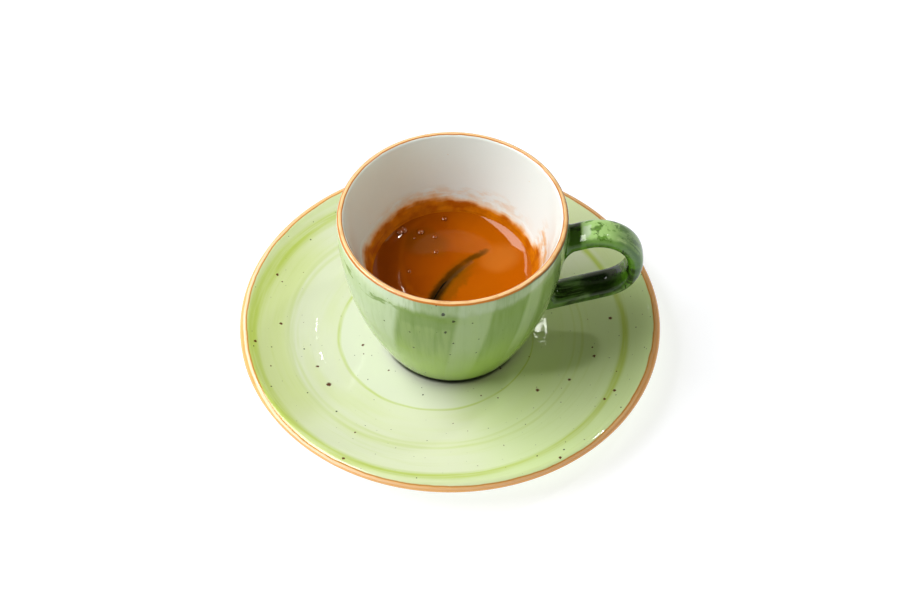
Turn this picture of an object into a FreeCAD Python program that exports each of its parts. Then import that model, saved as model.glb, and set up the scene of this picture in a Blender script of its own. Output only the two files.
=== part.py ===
"""Espresso shot: a short espresso in its glazed cup, standing on its saucer.

Four pieces, all in millimetres, +Z up, with the origin on the table under the middle of the
saucer and the handle pointing along +X: saucer, cup, coffee and crema.
"""
import FreeCAD, Part

import math
import os

import Sketcher

SIZES = (
    ("saucerRadius", "60", "saucer, axis to the outside of its rim"),
    ("saucerWell", "7", "height of the flat middle of the saucer above the table"),
    ("saucerFlat", "34", "radius of that flat middle"),
    ("saucerCurve", "60", "radius of the upward sweep from the middle to the rim"),
    ("saucerThick", "3.6", "thickness of the saucer's wall"),
    ("saucerFoot", "36.5", "outside radius of the saucer's foot ring"),
    ("saucerFootWidth", "3.4", "width of the saucer's foot ring"),
    ("saucerRecess", "2.2", "height of the recess inside the saucer's foot ring"),
    ("footSoftening", "0.5", "rounding of the foot rings' edges"),
    ("cupShift", "0.7", "cup axis from the saucer axis, towards the handle"),
    ("cupRadius", "32", "cup, axis to the outside of its rim"),
    ("cupHeight", "49.2", "cup, foot to rim"),
    ("lipRadius", "1", "half the thickness of the rounded rim"),
    ("wallCurve", "97", "radius of the outside wall's bowed outline"),
    ("baseRound", "1.5", "rounding where the wall turns under to the foot"),
    ("cupFoot", "18", "outside radius of the cup's foot ring"),
    ("cupFootHeight", "0.7", "height of the cup's foot ring below the wall"),
    ("cupFootWidth", "2.8", "width of the cup's foot ring"),
    ("cupRecess", "1.6", "height of the recess inside the cup's foot ring"),
    ("hollowLean", "15", "lean of the inside wall at the rim, in degrees"),
    ("hollowCurve", "220", "radius of the inside wall's bowed outline"),
    ("hollowBottom", "12", "radius of the rounded corner at the bottom of the hollow"),
    ("hollowFloor", "6", "height of the hollow's floor above the cup's foot"),
    ("drinkDrop", "24.2", "rim down to the surface of the drink"),
    ("cremaDepth", "2", "depth of the foam layer"),
    ("streakCurve", "37.3", "radius of the dark streak's bend"),
    ("streakCentreX", "29.5", "middle of that bend, from the cup axis towards the handle"),
    ("streakCentreY", "22", "middle of that bend, from the cup axis towards the front"),
    ("streakWidth", "1.6", "width of the streak"),
    ("streakFirst", "124", "where the streak begins round its bend, in degrees"),
    ("streakLast", "163", "where the streak ends round its bend, in degrees"),
    ("handleWidth", "8.8", "handle's section, across"),
    ("handleThick", "4.8", "handle's section, in the plane of the loop"),
    ("handleReach", "50.9", "cup axis to the middle of the handle where it stands out most"),
    ("handleTurn", "17.8", "rim down to that point"),
    ("handleUpper", "10.4", "radius of the loop's upper bend"),
    ("handleLower", "11.2", "radius of the loop's lower bend"),
    ("handleRise", "19", "lean of the upper arm, in degrees"),
    ("handleFall", "19.5", "lean of the lower arm, in degrees"),
    ("upperRoot", "29.4", "cup axis to the upper arm's end, inside the wall"),
    ("lowerRoot", "24", "cup axis to the lower arm's end, inside the wall"),
    ("handleBlend", "2", "rounding where the handle meets the wall"),
)
START, END, CENTRE = 1, 2, 3
ORIGIN = (-1, 1)
AXIS_ACROSS, AXIS_UP = -1, -2
NEAR = 0.01


def point(across, up):
    return FreeCAD.Vector(across, up, 0)


def new_sheet(doc):
    sheet = doc.addObject("Spreadsheet::Sheet", "Sizes")
    for row, (alias, number, meaning) in enumerate(SIZES, start=1):
        sheet.set("A%d" % row, meaning)
        sheet.set("B%d" % row, number)
        sheet.setAlias("B%d" % row, alias)
    doc.recompute()
    return sheet


def new_body(doc, name):
    body = doc.addObject("PartDesign::Body", name)
    body.Label = name
    return body


def stand_in_saucer(body):
    """Puts the cup, or what is in it, on the middle of the saucer."""
    body.setExpression("Placement.Base.x", "Sizes.cupShift")
    body.setExpression("Placement.Base.z", "Sizes.saucerWell")


class Outline:
    """A sketch on one of a body's own planes, drawn piece by piece and dimensioned from the sheet."""

    def __init__(self, body, name, role="XZ_Plane"):
        self.sketch = body.newObject("Sketcher::SketchObject", name)
        plane = next(item for item in body.Origin.OriginFeatures if item.Role == role)
        self.sketch.AttachmentSupport = (plane, [""])
        self.sketch.MapMode = "FlatFace"

    def value(self, expression):
        measure = self.sketch.evalExpression(expression)
        return float(getattr(measure, "Value", measure))

    def line(self, first, last, construction=False):
        return self.sketch.addGeometry(Part.LineSegment(point(*first), point(*last)), construction)

    def arc(self, centre, radius, first, last):
        """An arc from one angle to another, in degrees, anticlockwise."""
        circle = Part.Circle(point(*centre), FreeCAD.Vector(0, 0, 1), radius)
        arc = Part.ArcOfCircle(circle, math.radians(first), math.radians(last))
        return self.sketch.addGeometry(arc, False)

    def rule(self, *what):
        return self.sketch.addConstraint(Sketcher.Constraint(*what))

    def size(self, expression, *what):
        number = self.value(expression)
        if what[0] == "Angle":
            number = math.radians(number)
        index = self.rule(*what, number)
        self.sketch.setExpression("Constraints[%d]" % index, expression)

    def at(self, piece, end, across=None, up=None):
        """Dimensions a point from the sketch's origin."""
        if across is not None:
            self.size(across, "DistanceX", *ORIGIN, piece, end)
        if up is not None:
            self.size(up, "DistanceY", *ORIGIN, piece, end)

    def finish(self):
        state = self.sketch.solve()
        if state != 0 or not self.sketch.FullyConstrained:
            raise RuntimeError(self.sketch.Name + " isn't fully dimensioned")
        return self.sketch


def revolve(body, outline, name):
    feature = body.newObject("PartDesign::Revolution", name)
    feature.Profile = outline.finish()
    feature.ReferenceAxis = (outline.sketch, ["V_Axis"])
    feature.Angle = 360
    body.Tip = feature
    body.Document.recompute()
    return feature


def ring_edges(shape, radius, height):
    """Names of the circular edges with this radius at this height."""
    names = []
    for index, edge in enumerate(shape.Edges, start=1):
        curve = edge.Curve
        if not isinstance(curve, Part.Circle):
            continue
        if abs(curve.Radius - radius) < NEAR and abs(curve.Center.z - height) < NEAR:
            names.append("Edge%d" % index)
    return names


def fillet(body, name, base, edges, radius):
    if not edges:
        raise RuntimeError(name + " found no edges")
    feature = body.newObject("PartDesign::Fillet", name)
    feature.Base = (base, edges)
    feature.setExpression("Radius", radius)
    body.Tip = feature
    body.Document.recompute()
    return feature


def make_saucer(doc, sheet):
    body = new_body(doc, "saucer")
    outline = Outline(body, "saucerOutline")
    flat, well, curve = sheet.saucerFlat, sheet.saucerWell, sheet.saucerCurve
    half = sheet.saucerThick / 2
    sweep = math.degrees(math.asin((sheet.saucerRadius - half - flat) / (curve + half)))
    focus = (flat, well + curve)
    lip_up = well + curve - (curve + half) * math.cos(math.radians(sweep))
    foot, inner, recess = sheet.saucerFoot, sheet.saucerFoot - sheet.saucerFootWidth, sheet.saucerRecess

    top = outline.line((0, well), (flat, well))
    dish = outline.arc(focus, curve, -90, sweep - 90)
    lip = outline.arc((sheet.saucerRadius - half, lip_up), half, sweep - 90, sweep + 90)
    under = outline.arc(focus, curve + 2 * half, -87, sweep - 90)
    outside = outline.line((foot, well - 2 * half), (foot, 0))
    sole = outline.line((foot, 0), (inner, 0))
    inside = outline.line((inner, 0), (inner, recess))
    ceiling = outline.line((inner, recess), (0, recess))
    middle = outline.line((0, recess), (0, well))

    outline.rule("Horizontal", top)
    outline.rule("PointOnObject", top, START, AXIS_UP)
    outline.rule("Tangent", top, END, dish, START)
    outline.rule("Tangent", dish, END, lip, END)
    outline.rule("Tangent", lip, START, under, END)
    outline.rule("Coincident", dish, CENTRE, under, CENTRE)
    outline.rule("Coincident", under, START, outside, START)
    outline.rule("Vertical", outside)
    outline.rule("Coincident", outside, END, sole, START)
    outline.rule("PointOnObject", sole, START, AXIS_ACROSS)
    outline.rule("Horizontal", sole)
    outline.rule("Coincident", sole, END, inside, START)
    outline.rule("Vertical", inside)
    outline.rule("Coincident", inside, END, ceiling, START)
    outline.rule("Horizontal", ceiling)
    outline.rule("PointOnObject", ceiling, END, AXIS_UP)
    outline.rule("Coincident", ceiling, END, middle, START)
    outline.rule("Coincident", middle, END, top, START)
    outline.at(top, START, up="Sizes.saucerWell")
    outline.at(top, END, across="Sizes.saucerFlat")
    outline.size("Sizes.saucerCurve", "Radius", dish)
    outline.size("Sizes.saucerCurve + Sizes.saucerThick", "Radius", under)
    outline.at(lip, CENTRE, across="Sizes.saucerRadius - Sizes.saucerThick / 2")
    outline.at(sole, START, across="Sizes.saucerFoot")
    outline.at(sole, END, across="Sizes.saucerFoot - Sizes.saucerFootWidth")
    outline.at(ceiling, END, up="Sizes.saucerRecess")

    form = revolve(body, outline, "saucerForm")
    edges = ring_edges(form.Shape, foot, 0) + ring_edges(form.Shape, inner, 0)
    fillet(body, "saucerFootEdges", form, edges, "Sizes.footSoftening")
    return body


def hollow_centre(sheet):
    """The centre of the inside wall's bow, from the cup's foot."""
    reach = sheet.hollowCurve + sheet.lipRadius
    lean = math.radians(sheet.hollowLean)
    across = sheet.cupRadius - sheet.lipRadius - reach * math.cos(lean)
    up = sheet.cupHeight - sheet.lipRadius + reach * math.sin(lean)
    return across, up


def hollow_wall(outline, sheet, low, high):
    """The cup's inside wall between two heights, drawn from the bottom up."""
    across, up = hollow_centre(sheet)
    first = -math.degrees(math.asin((up - low) / sheet.hollowCurve))
    last = -math.degrees(math.asin((up - high) / sheet.hollowCurve))
    wall = outline.arc((across, up), sheet.hollowCurve, first, last)
    lip_across = "Sizes.cupRadius - Sizes.lipRadius"
    lip_up = "Sizes.cupHeight - Sizes.lipRadius"
    arm = "(Sizes.hollowCurve + Sizes.lipRadius)"
    outline.size("Sizes.hollowCurve", "Radius", wall)
    behind = "%s * cos(Sizes.hollowLean) - (%s)" % (arm, lip_across)
    outline.size(behind, "DistanceX", wall, CENTRE, *ORIGIN)
    outline.at(wall, CENTRE, up="%s + %s * sin(Sizes.hollowLean)" % (lip_up, arm))
    return wall


def hollow_bottom(outline, sheet, wall):
    """The hollow's rounded corner and flat floor, joined to its wall. Returns the floor."""
    across, up = hollow_centre(sheet)
    corner_up = sheet.hollowFloor + sheet.hollowBottom
    span = sheet.hollowCurve - sheet.hollowBottom
    turn = math.asin((up - corner_up) / span)
    corner_across = across + span * math.cos(turn)
    corner = outline.arc((corner_across, corner_up), sheet.hollowBottom, -90, -math.degrees(turn))
    floor = outline.line((0, sheet.hollowFloor), (corner_across, sheet.hollowFloor))
    outline.rule("Tangent", corner, END, wall, START)
    outline.rule("Tangent", floor, END, corner, START)
    outline.rule("Horizontal", floor)
    outline.rule("PointOnObject", floor, START, AXIS_UP)
    outline.size("Sizes.hollowBottom", "Radius", corner)
    outline.at(floor, START, up="Sizes.hollowFloor")
    return floor


def make_cup_form(body, sheet):
    outline = Outline(body, "cupOutline", "YZ_Plane")
    lip_across, lip_up = sheet.cupRadius - sheet.lipRadius, sheet.cupHeight - sheet.lipRadius
    base_up = sheet.cupFootHeight + sheet.baseRound
    turn = math.degrees(math.asin((lip_up - base_up) / (sheet.wallCurve - sheet.baseRound)))
    reach = (sheet.wallCurve - sheet.baseRound) * math.cos(math.radians(turn))
    base_across = sheet.cupRadius - sheet.wallCurve + reach
    foot, inner = sheet.cupFoot, sheet.cupFoot - sheet.cupFootWidth

    inside = hollow_wall(outline, sheet, sheet.hollowFloor + sheet.hollowBottom, lip_up)
    floor = hollow_bottom(outline, sheet, inside)
    outside = outline.arc((sheet.cupRadius - sheet.wallCurve, lip_up), sheet.wallCurve, -turn, 0)
    lip = outline.arc((lip_across, lip_up), sheet.lipRadius, 0, 180 - sheet.hollowLean)
    base = outline.arc((base_across, base_up), sheet.baseRound, -90, -turn)
    step = outline.line((foot, sheet.cupFootHeight), (base_across, sheet.cupFootHeight))
    foot_side = outline.line((foot, 0), (foot, sheet.cupFootHeight))
    sole = outline.line((inner, 0), (foot, 0))
    foot_inside = outline.line((inner, sheet.cupRecess), (inner, 0))
    ceiling = outline.line((0, sheet.cupRecess), (inner, sheet.cupRecess))
    middle = outline.line((0, sheet.hollowFloor), (0, sheet.cupRecess))

    outline.rule("Tangent", outside, END, lip, START)
    outline.rule("Horizontal", outside, CENTRE, lip, CENTRE)
    outline.rule("Tangent", lip, END, inside, END)
    outline.rule("Tangent", base, END, outside, START)
    outline.rule("Tangent", step, END, base, START)
    outline.rule("Horizontal", step)
    outline.rule("Coincident", foot_side, END, step, START)
    outline.rule("Vertical", foot_side)
    outline.rule("Coincident", sole, END, foot_side, START)
    outline.rule("Horizontal", sole)
    outline.rule("PointOnObject", sole, END, AXIS_ACROSS)
    outline.rule("Coincident", foot_inside, END, sole, START)
    outline.rule("Vertical", foot_inside)
    outline.rule("Coincident", ceiling, END, foot_inside, START)
    outline.rule("Horizontal", ceiling)
    outline.rule("PointOnObject", ceiling, START, AXIS_UP)
    outline.rule("Coincident", middle, END, ceiling, START)
    outline.rule("Coincident", middle, START, floor, START)
    outline.at(lip, CENTRE, "Sizes.cupRadius - Sizes.lipRadius", "Sizes.cupHeight - Sizes.lipRadius")
    outline.size("Sizes.wallCurve", "Radius", outside)
    outline.size("Sizes.baseRound", "Radius", base)
    outline.at(sole, END, across="Sizes.cupFoot")
    outline.at(sole, START, across="Sizes.cupFoot - Sizes.cupFootWidth")
    outline.at(step, START, up="Sizes.cupFootHeight")
    outline.at(ceiling, START, up="Sizes.cupRecess")
    return revolve(body, outline, "cupForm")


def handle_path(body, sheet):
    """The middle line of the handle's loop: upper arm, two bends, lower arm."""
    outline = Outline(body, "handlePath")
    turn_up = sheet.cupHeight - sheet.handleTurn
    rise, fall = math.radians(sheet.handleRise), math.radians(sheet.handleFall)
    upper_across = sheet.handleReach - sheet.handleUpper
    lower_across = sheet.handleReach - sheet.handleLower
    upper_end = (
        upper_across - sheet.handleUpper * math.sin(rise),
        turn_up + sheet.handleUpper * math.cos(rise),
    )
    lower_end = (
        lower_across + sheet.handleLower * math.sin(fall),
        turn_up - sheet.handleLower * math.cos(fall),
    )
    upper_root = (
        sheet.upperRoot,
        upper_end[1] - (upper_end[0] - sheet.upperRoot) * math.tan(rise),
    )
    lower_root = (
        sheet.lowerRoot,
        lower_end[1] - (lower_end[0] - sheet.lowerRoot) * math.tan(fall),
    )
    upper_arm = outline.line(upper_root, upper_end)
    upper_bend = outline.arc((upper_across, turn_up), sheet.handleUpper, 0, 90 + sheet.handleRise)
    lower_bend = outline.arc((lower_across, turn_up), sheet.handleLower, sheet.handleFall - 90, 0)
    lower_arm = outline.line(lower_end, lower_root)

    outline.rule("Tangent", upper_arm, END, upper_bend, END)
    outline.rule("Tangent", upper_bend, START, lower_bend, END)
    outline.rule("Tangent", lower_bend, START, lower_arm, START)
    outline.rule("Horizontal", upper_bend, CENTRE, lower_bend, CENTRE)
    outline.size("Sizes.handleUpper", "Radius", upper_bend)
    outline.size("Sizes.handleLower", "Radius", lower_bend)
    outline.at(upper_bend, START, "Sizes.handleReach", "Sizes.cupHeight - Sizes.handleTurn")
    outline.at(upper_arm, START, across="Sizes.upperRoot")
    outline.at(lower_arm, END, across="Sizes.lowerRoot")
    outline.size("Sizes.handleRise", "Angle", AXIS_ACROSS, 1, upper_arm, 1)
    outline.size("Sizes.handleFall", "Angle", AXIS_ACROSS, 1, lower_arm, 2)
    return outline.finish()


def handle_section(body, sheet):
    """The flattened oval that the handle is drawn out of, square to its upper arm."""
    outline = Outline(body, "handleSection", "YZ_Plane")
    wide, thick = sheet.handleWidth / 2, sheet.handleThick / 2
    shape = Part.Ellipse(point(wide, 0), point(0, thick), point(0, 0))
    oval = outline.sketch.addGeometry(shape, False)
    outline.sketch.exposeInternalGeometry(oval)
    across, along = oval + 1, oval + 2
    outline.rule("Coincident", oval, CENTRE, *ORIGIN)
    outline.rule("Horizontal", across)
    outline.size("Sizes.handleWidth", "Distance", across)
    outline.size("Sizes.handleThick", "Distance", along)
    sketch = outline.finish()
    turned = FreeCAD.Rotation(FreeCAD.Vector(1, 0, 0), -sheet.handleRise)
    sketch.AttachmentOffset = FreeCAD.Placement(FreeCAD.Vector(0, 0, sheet.upperRoot), turned)
    arm_end = "Sizes.cupHeight - Sizes.handleTurn + Sizes.handleUpper * cos(Sizes.handleRise)"
    arm_length = "Sizes.handleReach - Sizes.handleUpper * (1 + sin(Sizes.handleRise)) - Sizes.upperRoot"
    root_height = "%s - (%s) * tan(Sizes.handleRise)" % (arm_end, arm_length)
    sketch.setExpression("AttachmentOffset.Base.y", root_height)
    sketch.setExpression("AttachmentOffset.Base.z", "Sizes.upperRoot")
    sketch.setExpression("AttachmentOffset.Rotation.Angle", "-Sizes.handleRise")
    return sketch


def joint_edges(shape, sheet):
    """Names of the edges where the handle comes out of the wall."""
    names = []
    for index, edge in enumerate(shape.Edges, start=1):
        if isinstance(edge.Curve, Part.BSplineCurve) and edge.BoundBox.XMin > sheet.lowerRoot:
            names.append("Edge%d" % index)
    return names


def make_cup(doc, sheet):
    body = new_body(doc, "cup")
    form = make_cup_form(body, sheet)
    section = handle_section(body, sheet)
    path = handle_path(body, sheet)
    doc.recompute()
    handle = body.newObject("PartDesign::AdditivePipe", "handle")
    handle.Profile = section
    handle.Spine = path
    body.Tip = handle
    doc.recompute()
    if handle.Shape.Volume <= form.Shape.Volume:
        raise RuntimeError("the handle adds nothing")
    edges = ring_edges(handle.Shape, sheet.cupFoot, 0)
    edges += ring_edges(handle.Shape, sheet.cupFoot - sheet.cupFootWidth, 0)
    soft = fillet(body, "cupFootEdges", handle, edges, "Sizes.footSoftening / 2")
    fillet(body, "handleRoots", soft, joint_edges(soft.Shape, sheet), "Sizes.handleBlend")
    stand_in_saucer(body)
    return body


def surface_line(outline, sheet, wall, end, height, expression):
    """A level line from the axis to one end of the inside wall."""
    level = outline.line((0, height), (sheet.cupRadius / 2, height))
    outline.rule("Horizontal", level)
    outline.rule("PointOnObject", level, START, AXIS_UP)
    outline.rule("Coincident", level, END, wall, end)
    outline.at(level, START, up=expression)
    return level


def close_at_axis(outline, sheet, low, high, low_height, high_height):
    middle = outline.line((0, low_height), (0, high_height))
    outline.rule("Coincident", middle, START, low, START)
    outline.rule("Coincident", middle, END, high, START)


def make_drink(doc, sheet):
    """All that is in the cup, up to its level."""
    body = new_body(doc, "drink")
    outline = Outline(body, "drinkOutline")
    level = sheet.cupHeight - sheet.drinkDrop
    wall = hollow_wall(outline, sheet, sheet.hollowFloor + sheet.hollowBottom, level)
    floor = hollow_bottom(outline, sheet, wall)
    surface = surface_line(outline, sheet, wall, END, level, "Sizes.cupHeight - Sizes.drinkDrop")
    close_at_axis(outline, sheet, floor, surface, sheet.hollowFloor, level)
    revolve(body, outline, "drinkForm")
    stand_in_saucer(body)
    return body


def streak_outline(body, sheet):
    """The curved gap in the foam: two bends round one centre, closed by round ends."""
    outline = Outline(body, "streakOutline", "XY_Plane")
    centre = (sheet.streakCentreX, -sheet.streakCentreY)
    half = sheet.streakWidth / 2
    first, last = sheet.streakFirst, sheet.streakLast

    def tip(angle):
        turn = math.radians(angle)
        return (
            centre[0] + sheet.streakCurve * math.cos(turn),
            centre[1] + sheet.streakCurve * math.sin(turn),
        )

    outer = outline.arc(centre, sheet.streakCurve + half, first, last)
    inner = outline.arc(centre, sheet.streakCurve - half, first, last)
    first_end = outline.arc(tip(first), half, first - 180, first)
    last_end = outline.arc(tip(last), half, last, last + 180)
    first_ray = outline.line(centre, tip(first), True)
    last_ray = outline.line(centre, tip(last), True)

    outline.rule("Coincident", outer, CENTRE, inner, CENTRE)
    outline.rule("Tangent", outer, START, first_end, END)
    outline.rule("Tangent", inner, START, first_end, START)
    outline.rule("Tangent", outer, END, last_end, START)
    outline.rule("Tangent", inner, END, last_end, END)
    ends = ((first_ray, first_end, "Sizes.streakFirst"), (last_ray, last_end, "Sizes.streakLast"))
    for ray, end, angle in ends:
        outline.rule("Coincident", ray, START, outer, CENTRE)
        outline.rule("Coincident", ray, END, end, CENTRE)
        outline.size(angle, "Angle", ray)
    outline.at(outer, CENTRE, across="Sizes.streakCentreX")
    outline.size("Sizes.streakCentreY", "DistanceY", outer, CENTRE, *ORIGIN)
    outline.size("Sizes.streakCurve + Sizes.streakWidth / 2", "Radius", outer)
    outline.size("Sizes.streakCurve - Sizes.streakWidth / 2", "Radius", inner)
    return outline.finish()


def make_crema(doc, sheet):
    """The foam layer, open along the dark streak."""
    body = new_body(doc, "crema")
    outline = Outline(body, "cremaOutline")
    top = sheet.cupHeight - sheet.drinkDrop
    bottom = top - sheet.cremaDepth
    wall = hollow_wall(outline, sheet, bottom, top)
    surface = surface_line(outline, sheet, wall, END, top, "Sizes.cupHeight - Sizes.drinkDrop")
    under = surface_line(
        outline, sheet, wall, START, bottom, "Sizes.cupHeight - Sizes.drinkDrop - Sizes.cremaDepth"
    )
    close_at_axis(outline, sheet, under, surface, bottom, top)
    layer = revolve(body, outline, "cremaForm")
    gap = streak_outline(body, sheet)
    pocket = body.newObject("PartDesign::Pocket", "streak")
    pocket.Profile = gap
    pocket.Type = "ThroughAll"
    pocket.Reversed = True
    body.Tip = pocket
    doc.recompute()
    if pocket.Shape.Volume >= layer.Shape.Volume:
        raise RuntimeError("the streak cuts nothing")
    stand_in_saucer(body)
    return body


def make_coffee(doc, drink, crema):
    """The clear drink: everything in the cup that isn't foam, showing along the streak."""
    coffee = doc.addObject("Part::Cut", "coffee")
    coffee.Label = "coffee"
    coffee.Base = drink
    coffee.Tool = crema
    doc.recompute()
    return coffee


def check(doc, pieces):
    for item in doc.Objects:
        if "Invalid" in item.State or "Error" in item.State:
            raise RuntimeError("%s is %s" % (item.Name, item.State))
    for piece in pieces:
        shape = piece.Shape
        if shape.isNull() or not shape.isValid() or len(shape.Solids) != 1:
            raise RuntimeError(piece.Label + " is not one sound solid")


def main():
    doc = FreeCAD.newDocument("EspressoShot")
    sheet = new_sheet(doc)
    saucer = make_saucer(doc, sheet)
    cup = make_cup(doc, sheet)
    drink = make_drink(doc, sheet)
    crema = make_crema(doc, sheet)
    doc.recompute()
    coffee = make_coffee(doc, drink, crema)
    pieces = (saucer, cup, coffee, crema)
    check(doc, pieces)
    os.makedirs("parts", exist_ok=True)
    for piece in pieces:
        piece.Shape.exportStep("parts/%s.step" % piece.Label)
        box = piece.Shape.optimalBoundingBox()
        print(
            "%s: %.0f cubic mm, %.1f by %.1f by %.1f mm"
            % (piece.Label, piece.Shape.Volume, box.XLength, box.YLength, box.ZLength)
        )


main()
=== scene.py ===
"""Espresso shot: the fine forms, glazes, drink, light and camera of an espresso in its cup and saucer."""
import math

import bmesh
import bpy
from bpy.props import FloatProperty, FloatVectorProperty, IntProperty, PointerProperty
from mathutils import Matrix, Vector, noise


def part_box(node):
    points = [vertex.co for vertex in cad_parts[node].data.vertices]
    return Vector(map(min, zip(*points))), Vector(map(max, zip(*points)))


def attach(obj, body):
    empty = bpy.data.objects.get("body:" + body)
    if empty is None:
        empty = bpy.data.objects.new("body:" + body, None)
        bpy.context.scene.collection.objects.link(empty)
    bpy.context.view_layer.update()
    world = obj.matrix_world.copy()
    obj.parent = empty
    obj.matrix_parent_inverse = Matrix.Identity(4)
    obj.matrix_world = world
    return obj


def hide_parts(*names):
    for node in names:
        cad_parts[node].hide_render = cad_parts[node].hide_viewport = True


bl_info = {
    "name": "Espresso Shot",
    "version": (1, 0, 0),
    "blender": (4, 5, 0),
    "location": "3D View > Sidebar > Espresso",
    "description": "Makes a short espresso in its hand-painted cup and saucer",
    "category": "Add Mesh",
}

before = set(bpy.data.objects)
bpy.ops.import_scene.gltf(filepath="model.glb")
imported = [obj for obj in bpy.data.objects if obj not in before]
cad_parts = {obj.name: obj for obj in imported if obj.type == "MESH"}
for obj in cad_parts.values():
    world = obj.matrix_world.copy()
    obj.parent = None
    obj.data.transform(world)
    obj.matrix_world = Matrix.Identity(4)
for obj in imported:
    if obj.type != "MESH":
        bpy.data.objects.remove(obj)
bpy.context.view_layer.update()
saucer_low, saucer_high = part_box("saucer")
cup_low, cup_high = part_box("cup")
coffee_low, coffee_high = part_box("coffee")
crema_low, crema_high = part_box("crema")

MM = 0.001
CUP_RADIUS = cup_high.y
CUP_HEIGHT = cup_high.z - cup_low.z
CUP_AXIS = cup_low.x + CUP_RADIUS
WELD = 0.00001
QUARTER = math.pi / 2


def linear(level):
    """A display level from 0 to 255 as the light that it stands for."""
    share = level / 255
    return share / 12.92 if share <= 0.04045 else ((share + 0.055) / 1.055) ** 2.4


def size(name, description, millimetres):
    return FloatProperty(
        name=name,
        description=description,
        default=millimetres * MM,
        min=0,
        precision=5,
        unit="LENGTH",
        subtype="DISTANCE",
    )


def tint(name, description, red, green, blue):
    return FloatVectorProperty(
        name=name,
        description=description,
        default=(linear(red), linear(green), linear(blue)),
        min=0,
        max=1,
        size=3,
        subtype="COLOR",
    )


def angle(name, description, degrees):
    return FloatProperty(
        name=name, description=description, default=math.radians(degrees), subtype="ANGLE", unit="ROTATION"
    )


def amount(name, description, default):
    return FloatProperty(name=name, description=description, default=default, min=0)


class SaucerSettings(bpy.types.PropertyGroup):
    flat: size("Flat", "Radius of the flat middle", 34)
    sweep: size("Sweep", "Radius of the upward curve from the middle to the rim", 60)
    wall: size("Wall", "Thickness of the wall and of the rounded rim", 3.6)
    foot: size("Foot", "Outside radius of the foot ring", 36.5)
    foot_width: size("Foot width", "Width of the foot ring", 3.4)
    recess: size("Recess", "Height of the recess inside the foot ring", 2.2)
    softening: size("Softening", "Rounding of the foot ring's edges", 0.5)
    dish: size("Dish", "How far the middle is dished round the cup", 0.3)
    ridges: size("Ridges", "Height of the soft turning ridges", 0.02)
    wobble: size("Wobble", "How far the rim strays from the level", 0.15)
    steps: IntProperty(name="Steps", description="Faces round the saucer", default=288, min=48)
    milk: tint("Milky glaze", "Thinnest glaze, in the middle", 228, 233, 216)
    pale: tint("Pale glaze", "Thin glaze, almost the colour of the clay", 227, 232, 208)
    sage: tint("Sage glaze", "Thicker yellowish-green glaze", 215, 226, 156)
    lime: tint("Painted rings", "Yellow-green brush lines", 194, 210, 100)
    mint: tint("Mint", "Green between the outer ring and the rim", 216, 228, 174)
    # Painted shade: a greener tint for the shaded side beside the cup, where light bounced from the green
    # cup colours the shade.
    shade_green: tint("Fern glaze", "Slightly greener glaze on the handle's side", 219, 237, 178)
    rim: tint("Rim", "Amber of the bare rim", 238, 180, 108)
    # Also laid as painted shade on the rim's right side, away from the light.
    rim_edge: tint("Rim's edge", "Darker amber where the rim's colour ends", 198, 132, 58)
    # Painted highlight: the cream band along the rim, strongest on the lit left and front.
    rim_highlight: tint("Worn rim", "Cream where the rim's colour is thinnest", 250, 232, 204)
    rust: tint("Rust specks", "Iron spots in the glaze", 96, 34, 12)
    soot: tint("Dark specks", "Darker spots in the glaze", 38, 40, 22)
    # Painted shadow: the dark ring round the cup's foot stands in for the shade where the cup meets the
    # saucer.
    foot_shadow: tint("Seat", "Dark glaze round the cup's foot", 38, 54, 12)


class CupSettings(bpy.types.PropertyGroup):
    lip: size("Lip", "Half the thickness of the rounded rim", 1)
    bow: size("Bow", "Radius of the outside wall's bowed outline", 97)
    base_round: size("Base", "Rounding where the wall turns under to the foot", 1.5)
    foot: size("Foot", "Outside radius of the foot ring", 18)
    foot_height: size("Foot height", "Height of the foot ring", 0.7)
    foot_width: size("Foot width", "Width of the foot ring", 2.8)
    recess: size("Recess", "Height of the recess inside the foot ring", 1.6)
    lean: angle("Lean", "Lean of the inside wall at the rim", 15)
    hollow: size("Hollow", "Radius of the inside wall's bowed outline", 220)
    corner: size("Corner", "Radius of the rounded corner at the bottom of the hollow", 12)
    floor: size("Floor", "Height of the hollow's floor above the foot", 6)
    wobble: size("Wobble", "How far the wall strays from a true circle", 0.12)
    steps: IntProperty(name="Steps", description="Faces round the cup", default=256, min=48)
    white: tint("Inside", "White glaze inside", 235, 241, 240)
    # Also, in the wide stroke on the left, partly painted light on the lit side.
    mint: tint("Mint glaze", "Pale glaze under the rim and in the thin strokes", 200, 216, 184)
    leaf: tint("Leaf glaze", "Brushed green of the wall", 148, 171, 111)
    moss: tint("Moss glaze", "Green where strokes overlap", 121, 149, 79)
    spring: tint("Spring glaze", "Yellow-green low on the wall", 164, 194, 92)
    rim: tint("Rim", "Amber of the bare rim", 251, 212, 160)
    rim_edge: tint("Rim's edge", "Darker amber where the rim's colour ends", 196, 118, 36)
    # Also painted shade: it darkens the foot where the cup meets the saucer and the lip's outer edge on its
    # shaded side.
    clay: tint("Clay", "Dark glaze pooled at the foot", 30, 40, 10)
    stain: tint("Stain", "Dried trace of the drink on the wall", 226, 178, 120)
    soot: tint("Specks", "Dark spots in the glaze", 34, 40, 22)


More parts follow.
